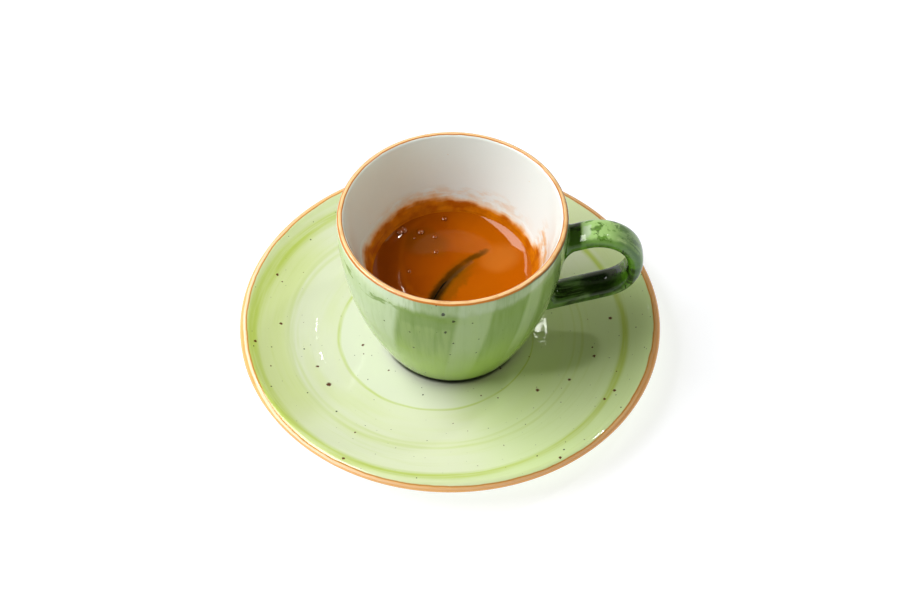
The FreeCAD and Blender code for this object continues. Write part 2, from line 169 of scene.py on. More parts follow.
class HandleSettings(bpy.types.PropertyGroup):
    width: size("Width", "Section, across", 8.8)
    thick: size("Thickness", "Section, in the plane of the loop", 4.8)
    reach: size("Reach", "Cup axis to the middle of the handle where it stands out most", 50.9)
    turn: size("Turn", "Rim down to that point", 17.8)
    upper: size("Upper bend", "Radius of the loop's upper bend", 10.4)
    lower: size("Lower bend", "Radius of the loop's lower bend", 11.2)
    rise: angle("Rise", "Lean of the upper arm", 19)
    fall: angle("Fall", "Lean of the lower arm", 19.5)
    squareness: amount("Squareness", "2 makes an oval section, more makes it squarer", 2.5)
    outer_root: size("Outer root", "Rounding between handle and wall on the outside of the loop", 1.6)
    inner_root: size("Inner root", "Rounding between handle and wall inside the loop", 4.6)
    # Also painted shade at the upper root and on the lower arm.
    deep: tint("Deep glaze", "Darkest, thickest green", 28, 50, 6)
    green: tint("Green glaze", "Saturated green", 94, 142, 36)
    # Partly painted light: it lightens the top of the upper arm where the light falls, and also lays pale
    # streaks on the lower arm.
    pale: tint("Worn glaze", "Pale green where the glaze runs thin", 176, 210, 138)
    # Painted reflection: the whitish glare of the light on the upper arm by its root.
    root_glare: tint("Milky patch", "Whitish patch by the upper root", 216, 228, 210)
    grey: tint("Grey glaze", "Greyish green of the loop's bend", 96, 128, 86)


class DrinkSettings(bpy.types.PropertyGroup):
    sink: size("Sink", "Middle of the surface below the level of its edge", 1.5)
    climb: size("Climb", "How far the surface climbs at the wall", 2.2)
    climb_width: size("Climb width", "How fast that climb dies away from the wall", 2.9)
    streak_curve: size("Streak curve", "Radius of the dark streak's bend", 37.3)
    streak_x: size("Streak x", "Middle of that bend, from the cup's axis towards the handle", 29.5)
    streak_y: size("Streak y", "Middle of that bend, from the cup's axis towards the front", 22)
    streak_first: angle("Streak's end", "Where the streak fades out", 131)
    streak_last: angle("Streak's start", "Where the streak nears the front wall", 165)
    ridge: size("Core", "Half width of the bare coffee along the streak", 0.7)
    groove: size("Groove", "Depth of the parted foam along the streak", 0.2)
    film: size("Film", "Thickness of the foam left on the wall", 0.22)
    steps: IntProperty(name="Steps", description="Faces round the drink", default=288, min=48)
    coffee: tint("Coffee", "Clear coffee under the foam", 26, 19, 5)
    brown: tint("Brown foam", "Thin, dark foam", 164, 80, 0)
    orange: tint("Orange foam", "Thick, bright foam", 184, 98, 0)
    peach: tint("Peach foam", "Foam with fine bubbles", 212, 140, 66)
    olive: tint("Olive foam", "Foam thinning out over the coffee", 116, 84, 2)
    residue: tint("Residue", "Foam dried on the wall", 222, 140, 10)
    haze: tint("Haze", "Thinnest trace of foam on the wall", 234, 190, 136)


class StageSettings(bpy.types.PropertyGroup):
    aim_back: size("Aim back", "Point looked at, behind the saucer's middle", 11.05)
    distance: size("Distance", "Camera to that point", 938.6)
    elevation: angle("Elevation", "Camera above the level", 50.02)
    lens: FloatProperty(name="Lens", description="Focal length", default=130, min=1, unit="CAMERA")
    key_turn: angle("Key turn", "Main light, from the handle's side anticlockwise", 181)
    key_height: angle("Key height", "Main light above the level", 52)
    key_distance: size("Key distance", "Main light to the saucer", 1000)
    key_wide: size("Key width", "Main light, along the level", 860)
    key_tall: size("Key length", "Main light, the other way", 480)
    key_power: amount("Key power", "Main light, in watts", 11.2)
    sky: amount("Sky", "Brightness of the room above", 0.05)
    horizon: amount("Horizon", "Brightness of the white surroundings near the level", 0.76)
    horizon_tint: tint("Horizon tint", "Colour of the surroundings", 255, 254, 238)
    floor: tint("Floor", "Plain pale floor", 163, 165, 174)
    floor_glow: amount("Floor glow", "Light that comes through the floor", 0.74)
    contrast: amount("Contrast", "Under 1 deepens the shadows", 0.88)


class Section:
    """Half an upright section, drawn from point to point in the XZ plane and then spun into a round form.

    Each point keeps how far along the section it lies, so that a finish can follow the surface."""

    def __init__(self, axis, base):
        self.mesh = bmesh.new()
        self.along = self.mesh.verts.layers.float.new("along")
        self.axis = axis
        self.base = base
        self.tip = None

    def spot(self, across, up):
        return Vector((self.axis + across, 0, self.base + up))

    def start(self, across, up):
        self.tip = self.mesh.verts.new(self.spot(across, up))

    def line(self, across, up, steps=1):
        stride = (self.spot(across, up) - self.tip.co) / steps
        for _ in range(steps):
            grown = bmesh.ops.extrude_vert_indiv(self.mesh, verts=[self.tip])
            self.tip = grown["verts"][0]
            bmesh.ops.translate(self.mesh, verts=[self.tip], vec=stride)

    def arc(self, across, up, turn, steps):
        """Carries the tip round a centre, anticlockwise where the turn is positive, in radians."""
        centre = self.spot(across, up)
        turned = bmesh.ops.spin(
            self.mesh, geom=[self.tip], cent=centre, axis=(0, -1, 0), angle=turn, steps=steps
        )
        self.tip = turned["geom_last"][0]

    def measure(self):
        """Writes the distance along the section, from its highest point, negative before it."""
        points = list(self.mesh.verts)
        runs = [0.0]
        for first, second in zip(points, points[1:]):
            runs.append(runs[-1] + (second.co - first.co).length)
        top = max(range(len(points)), key=lambda index: points[index].co.z)
        for point, reach in zip(points, runs):
            point[self.along] = (reach - runs[top]) / MM

    def spin(self, steps):
        """Spins the section into a round form, with its seam and its poles closed."""
        half = self.mesh.verts[:] + self.mesh.edges[:]
        centre = (self.axis, 0, 0)
        bmesh.ops.spin(
            self.mesh, geom=half, cent=centre, axis=(0, 0, 1), angle=math.tau, steps=steps, use_merge=True
        )
        bmesh.ops.remove_doubles(self.mesh, verts=self.mesh.verts, dist=WELD)
        bmesh.ops.recalc_face_normals(self.mesh, faces=self.mesh.faces)
        return self.mesh


def draw_foot(section, ware, soft, side_steps, round_steps, middle_steps):
    """Draws a foot ring from its outside and the recess inside it, and measures the whole section."""
    inner = ware.foot - ware.foot_width
    section.line(ware.foot, soft, side_steps)
    section.arc(ware.foot - soft, soft, -QUARTER, round_steps)
    section.line(inner + soft, 0, 3)
    section.arc(inner + soft, soft, -QUARTER, round_steps)
    section.line(inner, ware.recess, 2)
    section.line(0, ware.recess, middle_steps)
    section.measure()


def ease(value, low, high):
    """0 below low, 1 above high and a smooth rise between."""
    share = min(max((value - low) / (high - low), 0), 1)
    return share * share * (3 - 2 * share)


def add_object(name, data):
    made = bpy.data.objects.new(name, data)
    bpy.context.scene.collection.objects.link(made)
    return made


def add_mesh(name, mesh, material):
    data = bpy.data.meshes.new(name)
    mesh.to_mesh(data)
    mesh.free()
    data.materials.append(material)
    return add_object(name, data)


def make_piece(name, mesh, material, nodes=()):
    """Turns a finished mesh into a piece that rides on the frame and stands for its nodes."""
    for face in mesh.faces:
        face.smooth = True
    piece = add_mesh(name, mesh, material)
    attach(piece, "root")
    if nodes:
        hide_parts(*nodes)
    return piece


def both_ways(operation):
    """The methods for one operation: with the reading first, and with it second."""

    def forwards(self, other):
        return self.combine(operation, self, other)

    def backwards(self, other):
        return self.combine(operation, other, self)

    return forwards, backwards


class Reading:
    """A number that varies over a surface, with the arithmetic of plain numbers."""

    __add__, __radd__ = both_ways("ADD")
    __sub__, __rsub__ = both_ways("SUBTRACT")
    __mul__, __rmul__ = both_ways("MULTIPLY")
    __truediv__, __rtruediv__ = both_ways("DIVIDE")
    __pow__, __rpow__ = both_ways("POWER")
    at_most = both_ways("MINIMUM")[0]
    at_least = both_ways("MAXIMUM")[0]

    def __init__(self, finish, socket):
        self.finish = finish
        self.socket = socket

    def combine(self, operation, *values):
        return self.finish.node("Math", {"operation": operation}, dict(enumerate(values)))

    def __neg__(self):
        return self.combine("MULTIPLY", self, -1)

    def __abs__(self):
        return self.combine("ABSOLUTE", self)

    def rise(self, low, high):
        """0 below low, 1 above high and a smooth rise between."""
        limits = {"Value": self, "From Min": low, "From Max": high}
        return self.finish.node("MapRange", {"interpolation_type": "SMOOTHSTEP"}, limits)

    def band(self, low, high, soft):
        """1 between two limits, fading out over a soft edge at each."""
        return self.rise(low - soft, low + soft) * (1 - self.rise(high - soft, high + soft))


class Finish:
    """A material while it is being made: its nodes, and short words for the ones used most."""

    def __init__(self, name):
        self.material = bpy.data.materials.new(name)
        self.material.use_nodes = True
        self.tree = self.material.node_tree
        self.shader = self.tree.nodes["Principled BSDF"]
        self.colour = (1, 1, 1)

    def feed(self, socket, value):
        if isinstance(value, Reading):
            self.tree.links.new(value.socket, socket)
        elif socket.type == "RGBA" and len(value) == 3:
            socket.default_value = (*value, 1)
        else:
            socket.default_value = value

    def node(self, kind, settings=None, inputs=None, output=0):
        node = self.tree.nodes.new("ShaderNode" + kind)
        for name, value in (settings or {}).items():
            setattr(node, name, value)
        for key, value in (inputs or {}).items():
            self.feed(node.inputs[key], value)
        return Reading(self, node.outputs[output])

    def done(self, **values):
        """Sets the shader's own sockets, named with underscores for spaces, and gives the material."""
        for name, value in values.items():
            self.feed(self.shader.inputs[name.replace("_", " ")], value)
        return self.material

    def place(self, axis=0.0, base=0.0):
        """Where a point lies, in millimetres from an upright axis and a level."""
        spots = self.node("TexCoord", output="Object")
        move = (-axis / MM, 0, -base / MM)
        return self.node("Mapping", inputs={"Vector": spots, "Location": move, "Scale": (1 / MM,) * 3})

    def parts(self, vector):
        split = self.node("SeparateXYZ", inputs={0: vector}).socket.node
        return [Reading(self, output) for output in split.outputs]

    def joined(self, x, y, z=0.0):
        return self.node("CombineXYZ", inputs={0: x, 1: y, 2: z})

    def attribute(self, name):
        return self.node("Attribute", {"attribute_name": name}, output="Fac")

    def blend(self, share, first, second):
        return self.node("Mix", {"data_type": "RGBA"}, {0: share, 6: first, 7: second}, output=2)

    def lay(self, share, tint):
        """Lays a colour over the finish's colour so far."""
        self.colour = self.blend(share, self.colour, tint)

    def grain(self, vector, scale, detail=2.0, roughness=0.5, distortion=0.0):
        """Soft noise around a half."""
        inputs = dict(Vector=vector, Scale=scale, Detail=detail, Roughness=roughness, Distortion=distortion)
        return self.node("TexNoise", inputs=inputs)

    def ragged(self, place):
        """How far the edges of the larger spots stray, in millimetres."""
        return (self.grain(place, 2.4, 2) - 0.5) * 0.8

    def brush(self, turn_x, turn_y):
        """Gives noise laid round an upright axis, and drawn out along another measure as strokes are."""

        def strokes(across, drawn, detail=2.0, roughness=0.5):
            vector = self.joined(turn_x * across, turn_y * across, drawn)
            return self.grain(vector, 1, detail, roughness)

        return strokes

    def degrees(self, side, ahead):
        """The direction of a point, in degrees from straight ahead."""
        return self.node("Math", {"operation": "ARCTAN2"}, {0: side, 1: ahead}) * (180 / math.pi)

    def mark(self, side, rear, radius, ragged):
        """1 inside one ragged iron spot."""
        return 1 - (((side * side + rear * rear) ** 0.5 + ragged) / radius).rise(0.55, 1.1)

    def oval(self, side, rear, ragged, edge):
        """1 in the middle of an oval patch, fading out to its ragged edge."""
        return 1 - (side * side + rear * rear + ragged).rise(0.1, edge)

    def specks(self, vector, spacing, largest, share, seed):
        """1 inside scattered spots: one in each cell at most, in a share of the cells."""
        moved = self.node("VectorMath", {"operation": "ADD"}, {0: vector, 1: (seed, seed * 2, 0)})
        inputs = {"Vector": moved, "Scale": 1 / spacing}
        cells = self.node("TexVoronoi", {"voronoi_dimensions": "2D"}, inputs).socket.node
        distance = Reading(self, cells.outputs["Distance"]) * spacing
        chance, spread, _ = self.parts(Reading(self, cells.outputs["Color"]))
        radius = (0.35 + 0.65 * spread * spread) * largest
        ragged = distance + (self.grain(vector, 2.2 / largest, 1) - 0.5) * largest
        spot = 1 - (ragged / radius).rise(0.55, 1.05)
        return spot * chance.combine("LESS_THAN", chance, share)

    def glossy(self, roughness, ior, relief, depth):
        """Gives the material in its colour so far, with a shine and a relief some millimetres deep."""
        normal = self.node("Bump", inputs={"Height": relief, "Distance": depth * MM, "Strength": 1})
        return self.done(Base_Color=self.colour, Roughness=roughness, IOR=ior, Normal=normal)


def around(across, depth):
    """The direction of a point from the upright axis, as a unit vector's x and y, and its distance."""
    reach = (across * across + depth * depth) ** 0.5
    safe = reach.at_least(0.001)
    return across / safe, depth / safe, reach


BRUSH_CENTRE = (-3.8, -1.7)  # the middle of the painter's turning, which isn't the saucer's own
RINGS = (
    # centre across, centre back, radius, half width, strength
    (-3.4, -2.9, 53.0, 1.5, 0.85),
    (-4.4, -1.5, 42.2, 0.6, 0.32),
    (-4.6, -1.5, 40.3, 0.45, 0.26),
    (-3.9, -1.4, 27.7, 0.4, 0.6),
)
SAUCER_MARKS = (
    # across, back and radius of the larger iron spots
    (-34.2, -20.5, 0.8),
    (-37.6, -14.0, 0.45),
    (-48.3, 0.6, 0.5),
    (-49.9, 18.0, 0.5),
    (-55.3, -7.6, 0.5),
    (-24.9, -5.7, 0.45),
    (-29.4, -50.0, 0.5),
    (24.7, -22.2, 0.6),
    (33.8, -18.7, 0.5),
    (46.2, -24.6, 0.5),
    (43.4, -27.4, 0.5),
    (46.0, 3.0, 0.6),
    (41.0, -10.5, 0.5),
    (30.4, -49.7, 0.45),
)


def saucer_glaze(saucer):
    """Brushed washes and rings with a greener painted shade on the handle's side, iron spots, a painted
    shadow round the cup's foot, and the bare rim with a painted highlight and painted shade, laid in that
    order.
    """
    finish = Finish("saucer_glaze")
    place = finish.place()
    x, y, z = finish.parts(place)
    along = finish.attribute("along")
    turn_x, turn_y, reach = around(x - BRUSH_CENTRE[0], y - BRUSH_CENTRE[1])
    brush = finish.brush(turn_x, turn_y)

    wander = brush(1.1, reach * 0.015, 2) - 0.5
    painted = reach + wander * 2.4
    broad = brush(0.9, painted * 0.16, 2, 0.5)
    hairs = brush(1.8, painted * 0.85, 3, 0.6)
    left = (-turn_x).rise(0.6, 0.88)
    finish.colour = finish.blend(painted.rise(26.8, 28.4), saucer.milk, saucer.pale)
    shelf = painted.band(42.8, 54, 1.4) * left * (0.6 + 0.4 * hairs)
    sage = (broad.rise(0.45, 0.75) * 0.35 * painted.rise(24, 34)).at_least(shelf * 0.9)
    finish.lay(sage, saucer.sage)
    outside = painted.rise(52.8, 55.5)
    finish.lay(outside * (0.55 + 0.45 * left), saucer.mint)
    # Painted shade: greener glaze on the shaded side towards the handle, where light bounced from the cup
    # tints the shade.
    right = turn_x.rise(0.05, 0.6) * (1 - turn_y.rise(0.3, 0.6))
    finish.lay(right * 0.7, saucer.shade_green)
    washes = hairs.rise(0.5, 0.8) * painted.rise(26, 40)
    finish.lay(washes * 0.16, saucer.lime)
    for centre_x, centre_y, radius, width, strength in RINGS:
        ring_x, ring_y, ring_reach = around(x - centre_x, y - centre_y)
        sway = finish.grain(finish.joined(ring_x, ring_y, radius), 1.1, 2) - 0.5
        thick = finish.grain(finish.joined(ring_x, ring_y, radius + 9), 1.5, 2) - ring_x * 0.3
        off = abs(ring_reach - radius + sway * 2) / (width * (0.5 + thick))
        line = 1 - off.rise(0.2, 1.5)
        worn = 0.45 + 0.55 * hairs.rise(0.3, 0.6)
        finish.lay(line * worn * strength, saucer.lime)

    far = finish.specks(place, 8, 0.36, 0.5, 3.1)
    near = finish.specks(place, 5.2, 0.2, 0.5, 17.7)
    finish.lay(near * 0.6, saucer.soot)
    rusty = finish.grain(place, 0.08, 0).rise(0.5, 0.56)
    finish.lay(far * 0.9, finish.blend(rusty, saucer.soot, saucer.rust))
    ragged = finish.ragged(place)
    marks = far * 0
    for across, back, radius in SAUCER_MARKS:
        marks = marks.at_least(finish.mark(x - across, y - back, radius, ragged))
    finish.lay(marks * 0.92, saucer.rust)

    # Painted shadow: a dark ring on the saucer round the cup's foot, where the cup shades it.
    _, _, from_cup = around(x - CUP_AXIS / MM, y)
    foot_shadow = 1 - (from_cup + (hairs - 0.5) * 0.6).rise(19.1, 20.3)
    finish.lay(foot_shadow * 0.9, saucer.foot_shadow)

    edge = (brush(9, z * 0.3, 3) - 0.5) * 0.7
    inward = along + edge - (-turn_y).rise(0.1, 0.95) * 1.5
    rim = inward.band(-0.1, 4.2, 0.1)
    fringe = inward.band(-0.3, 0.05, 0.1) + inward.band(2.5, 4.4, 0.5)
    warm = brush(5, along * 0.5, 3)
    # Darker amber: random warm patches, and painted shade on the right, the side away from the light.
    brown = (warm.rise(0.5, 0.8) * 0.45).at_least(turn_x.rise(-0.1, 0.9) * 0.55)
    amber = finish.blend(brown, saucer.rim, saucer.rim_edge)
    # Painted highlight: a cream band along the rim's top, strongest on the left and front-left where the
    # light catches it.
    thin = inward.band(0.15, 0.95, 0.2) * (0.3 + 0.7 * (-turn_x - turn_y * 0.3).rise(0.3, 1.0))
    amber = finish.blend(thin * 0.8, amber, saucer.rim_highlight)
    finish.lay(rim, amber)
    finish.lay(fringe.at_most(1) * 0.8, saucer.rim_edge)

    dull = finish.grain(place, 0.4, 3)
    waves = finish.grain(place, 0.14, 2) + finish.grain(place, 0.8, 2) * 0.12
    return finish.glossy(0.015 + 0.02 * dull + rim * 0.08, 1.5, waves + (far + marks) * 0.4, 0.02)


def make_saucer_form(saucer):
    """The saucer, spun from its middle over the rim to the foot, then given hand-turned ridges and sway."""
    radius = saucer_high.x
    well = cup_low.z
    half = saucer.wall / 2
    focus = well + saucer.sweep
    sweep = math.asin((radius - half - saucer.flat) / (saucer.sweep + half))
    lip_up = focus - (saucer.sweep + half) * math.cos(sweep)
    under = saucer.sweep + saucer.wall
    foot_turn = math.asin((saucer.foot - saucer.flat) / under)
    well_edge = saucer.flat * 0.8
    blend_edge = saucer.flat * 1.235
    fade = radius * 0.74

    section = Section(0, 0)
    section.start(0, well)
    section.line(saucer.flat, well, 34)
    section.arc(saucer.flat, focus, sweep, 44)
    section.arc(radius - half, lip_up, -math.pi, 24)
    section.arc(saucer.flat, focus, foot_turn - sweep, 36)
    draw_foot(section, saucer, saucer.softening, 4, 5, 20)
    mesh = section.spin(saucer.steps)
    for vert in mesh.verts:
        turn = Vector((vert.co.x, vert.co.y, 0))
        reach = turn.length
        if reach < WELD:
            continue
        turn /= reach
        upper = vert.co.z > saucer.recess * 1.01
        if upper:
            vert.co.z += saucer.dish * ease(reach, well_edge, blend_edge) * (1 - ease(reach, fade, radius))
            ridge = noise.noise(Vector((turn.x * 1.2, turn.y * 1.2, reach / MM * 0.16)))
            vert.co.z += saucer.ridges * ridge * ease(reach, well_edge, saucer.flat)
        sway = noise.noise(Vector((turn.x * 1.7, turn.y * 1.7, 5)))
        outer = ease(reach, saucer.flat, radius)
        vert.co.z += saucer.wobble * sway * outer * outer
    return mesh


class ESPRESSO_OT_saucer(bpy.types.Operator):
    """Make the saucer with its painted glaze"""

    bl_idname = "espresso.saucer"
    bl_label = "Saucer"

    def execute(self, context):
        saucer = context.scene.espresso_saucer
        mesh = make_saucer_form(saucer)
        make_piece("painted_saucer", mesh, saucer_glaze(saucer), ["saucer"])
        return {"FINISHED"}


def wall_reach(cup, height):
    """Radius of the cup's outside wall at a height above its foot."""
    rim = CUP_HEIGHT - cup.lip
    return CUP_RADIUS - cup.bow + math.sqrt(cup.bow**2 - (rim - height) ** 2)


def hollow_centre(cup):
    """Centre of the inside wall's bow, from the cup's axis and foot."""
    arm = cup.hollow + cup.lip
    across = CUP_RADIUS - cup.lip - arm * math.cos(cup.lean)
    up = CUP_HEIGHT - cup.lip + arm * math.sin(cup.lean)
    return across, up


def hollow_reach(cup, height):
    """Radius of the cup's inside wall at a height above its foot."""
    across, up = hollow_centre(cup)
    return across + math.sqrt(cup.hollow**2 - (up - height) ** 2)


def draw_hollow(section, cup, floor_steps, corner_steps):
    """Draws the hollow's floor and rounded corner. Returns the wall's centre and the turn reached."""
    across, up = hollow_centre(cup)
    span = cup.hollow - cup.corner
    turn = math.asin((up - cup.floor - cup.corner) / span)
    corner_across = across + span * math.cos(turn)
    section.start(0, cup.floor)
    section.line(corner_across, cup.floor, floor_steps)
    section.arc(corner_across, cup.floor + cup.corner, QUARTER - turn, corner_steps)
    return across, up, turn


def sway_cup(cup, spot):
    """Moves a point of the cup a little, as hand turning does, and keeps the foot level."""
    turn = Vector((spot.x - CUP_AXIS, spot.y, 0))
    reach = turn.length
    if reach < WELD:
        return spot
    turn /= reach
    height = (spot.z - cup_low.z) / MM
    swell = noise.noise(Vector((turn.x * 1.3, turn.y * 1.3, height * 0.035)))
    lift = noise.noise(Vector((turn.x * 1.6, turn.y * 1.6, 9)))
    moved = spot + turn * cup.wobble * swell * ease(height, 2, 12)
    moved.z += cup.wobble * lift * ease(height, 20, 46)
    return moved


def make_cup_form(cup):
    """The cup, spun from the floor of its hollow over the lip and down to the foot."""
    rim = CUP_HEIGHT - cup.lip
    base_up = cup.foot_height + cup.base_round
    base_turn = math.asin((rim - base_up) / (cup.bow - cup.base_round))
    base_arm = (cup.bow - cup.base_round) * math.cos(base_turn)
    base_across = CUP_RADIUS - cup.bow + base_arm

    section = Section(CUP_AXIS, cup_low.z)
    across, up, turn = draw_hollow(section, cup, 6, 16)
    section.arc(across, up, turn - cup.lean, 60)
    section.arc(CUP_RADIUS - cup.lip, rim, cup.lean - math.pi, 18)
    section.arc(CUP_RADIUS - cup.bow, rim, -base_turn, 80)
    section.arc(base_across, base_up, base_turn - QUARTER, 8)
    section.line(cup.foot, cup.foot_height)
    draw_foot(section, cup, cup.foot_height * 0.36, 1, 4, 10)
    return section.spin(cup.steps)


def handle_line(handle, steps):
    """Points of the loop's two bends, each with the way outwards, from the upper arm to the lower arm."""
    up = CUP_HEIGHT - handle.turn
    first = QUARTER + handle.rise
    last = handle.fall - QUARTER
    turns = [(first * (1 - step / steps), handle.upper) for step in range(steps)]
    turns += [(last * step / steps, handle.lower) for step in range(steps + 1)]
    stations = []
    for turn, bend in turns:
        outwards = Vector((math.cos(turn), 0, math.sin(turn)))
        centre = Vector((handle.reach - bend, 0, up))
        stations.append((centre + outwards * bend, outwards))
    return stations


def oval_section(mesh, handle, sides):
    """The handle's section as a loop of points, lying across Y and thick along Z."""
    made = bmesh.ops.create_circle(mesh, cap_ends=False, radius=1, segments=sides)
    power = 2 / handle.squareness
    loop = made["verts"]
    for vert in loop:
        across, thick = vert.co.x, vert.co.y
        vert.co.x = 0
        vert.co.y = math.copysign(abs(across) ** power, across) * handle.width / 2
        vert.co.z = math.copysign(abs(thick) ** power, thick) * handle.thick / 2
    return loop


def grow_ring(mesh, loop):
    """Extrudes a closed loop of points, and returns the new loop in the same order."""
    old = set(loop)
    edges = [mesh.edges.get(pair) for pair in zip(loop, loop[1:] + loop[:1])]
    grown = bmesh.ops.extrude_edge_only(mesh, edges=edges)["geom"]
    pairs = {}
    for vert in grown:
        if isinstance(vert, bmesh.types.BMVert) and vert not in old:
            pairs.update({edge.other_vert(vert): vert for edge in vert.link_edges})
    return [pairs[vert] for vert in loop]


def wall_gap(cup, spot):
    """How far a point stands off the cup's outside wall, and the way off the wall there."""
    reach = math.hypot(spot.x, spot.y)
    rim = CUP_HEIGHT - cup.lip
    drop = math.asin(min(max((rim - spot.z) / cup.bow, -1), 1))
    off = Vector((spot.x / reach * math.cos(drop), spot.y / reach * math.cos(drop), -math.sin(drop)))
    return (reach - wall_reach(cup, spot.z)) * math.cos(drop), off


def root_point(cup, handle, spot, outwards, arm, share, inside):
    """A point of an arm on its way to the wall, spread out where it comes near the wall."""
    low, high = 0.0, 40 * MM
    halvings = 30
    for _ in range(halvings):
        middle = (low + high) / 2
        if wall_gap(cup, spot + arm * middle)[0] > 0:
            low = middle
        else:
            high = middle
    moved = spot + arm * low * share
    gap, off = wall_gap(cup, moved)
    spread = handle.outer_root + (handle.inner_root - handle.outer_root) * inside
    if gap < spread:
        flare = spread - math.sqrt(max(spread**2 - (spread - gap) ** 2, 0))
        sideways = outwards - off * outwards.dot(off)
        moved = moved + sideways.normalized() * flare
        new_gap, off = wall_gap(cup, moved)
        moved = moved - off * (new_gap - gap)
    return moved


def grow_root(mesh, cup, handle, loop, station, lean, steps):
    """Carries a loop along its leaning arm into the wall, with a rounded root."""
    centre, away = station
    arm = Vector((-math.cos(lean), 0, -math.sin(lean)))
    starts = [vert.co.copy() for vert in loop]
    for step in range(1, steps + 1):
        share = 1 - (1 - step / steps) ** 2
        loop = grow_ring(mesh, loop)
        for vert, start in zip(loop, starts):
            outwards = (start - centre).normalized()
            inside = ease(outwards.dot(-away), -0.1, 0.9)
            vert.co = root_point(cup, handle, start, outwards, arm, share, inside)
    buried = grow_ring(mesh, loop)
    bmesh.ops.translate(mesh, verts=buried, vec=(-MM, 0, 0))
    bmesh.ops.contextual_create(mesh, geom=buried)


def make_handle_form(cup, handle):
    """The handle as a closed form, from the cup's axis and foot."""
    mesh = bmesh.new()
    stations = handle_line(handle, 40)
    loop = oval_section(mesh, handle, 56)
    canon = [vert.co.copy() for vert in loop]
    first = loop
    for index, (spot, outwards) in enumerate(stations):
        if index:
            loop = grow_ring(mesh, loop)
        forward = Vector((outwards.z, 0, -outwards.x))
        turn = Matrix((forward, Vector((0, 1, 0)), outwards)).transposed()
        for vert, corner in zip(loop, canon):
            vert.co = spot + turn @ corner
    grow_root(mesh, cup, handle, first, stations[0], handle.rise, 26)
    grow_root(mesh, cup, handle, loop, stations[-1], handle.fall, 34)
    bmesh.ops.recalc_face_normals(mesh, faces=mesh.faces)
    bmesh.ops.translate(mesh, verts=mesh.verts, vec=(CUP_AXIS, 0, cup_low.z))
    return mesh


STROKES = (
    # middle, half width and edge softness in degrees from the front towards the handle; strength
    # The wide first stroke makes the lit left side paler: partly thin glaze, partly painted light.
    (-69, 42, 2.0, 0.85),
    (12, 8.5, 1.4, 0.34),
    (46, 5, 1.2, 0.3),
    (118, 12, 3.0, 0.6),
    (163, 14, 4.0, 0.7),
    (-138, 16, 4.0, 0.7),
)
CUP_MARKS = (
    # degrees from the front towards the handle, height and radius of the larger dark spots
    (-4.6, 45.0, 0.6),
    (0.4, 42.0, 0.45),
    (-3.6, 36.7, 0.45),
    (-21.5, 25.4, 0.3),
    (13.0, 24.3, 0.3),
    (0.5, 31.0, 0.3),
)


def stained_white(finish, cup, turn_x, turn_y, z):
    """The white glaze inside, with the dried traces that the drink left above its level."""
    trace = finish.brush(turn_x, turn_y)(5, z * 0.5, 3, 0.6)
    back = turn_y.rise(0.3, 0.95) * z.band(28.5, 33, 1.5) * 0.4
    side = turn_x.rise(0.93, 0.99) * z.band(29, 37, 3) * 0.9
    stained = back.at_least(side) * trace.rise(0.4, 0.65)
    return finish.blend(stained, cup.white, cup.stain)


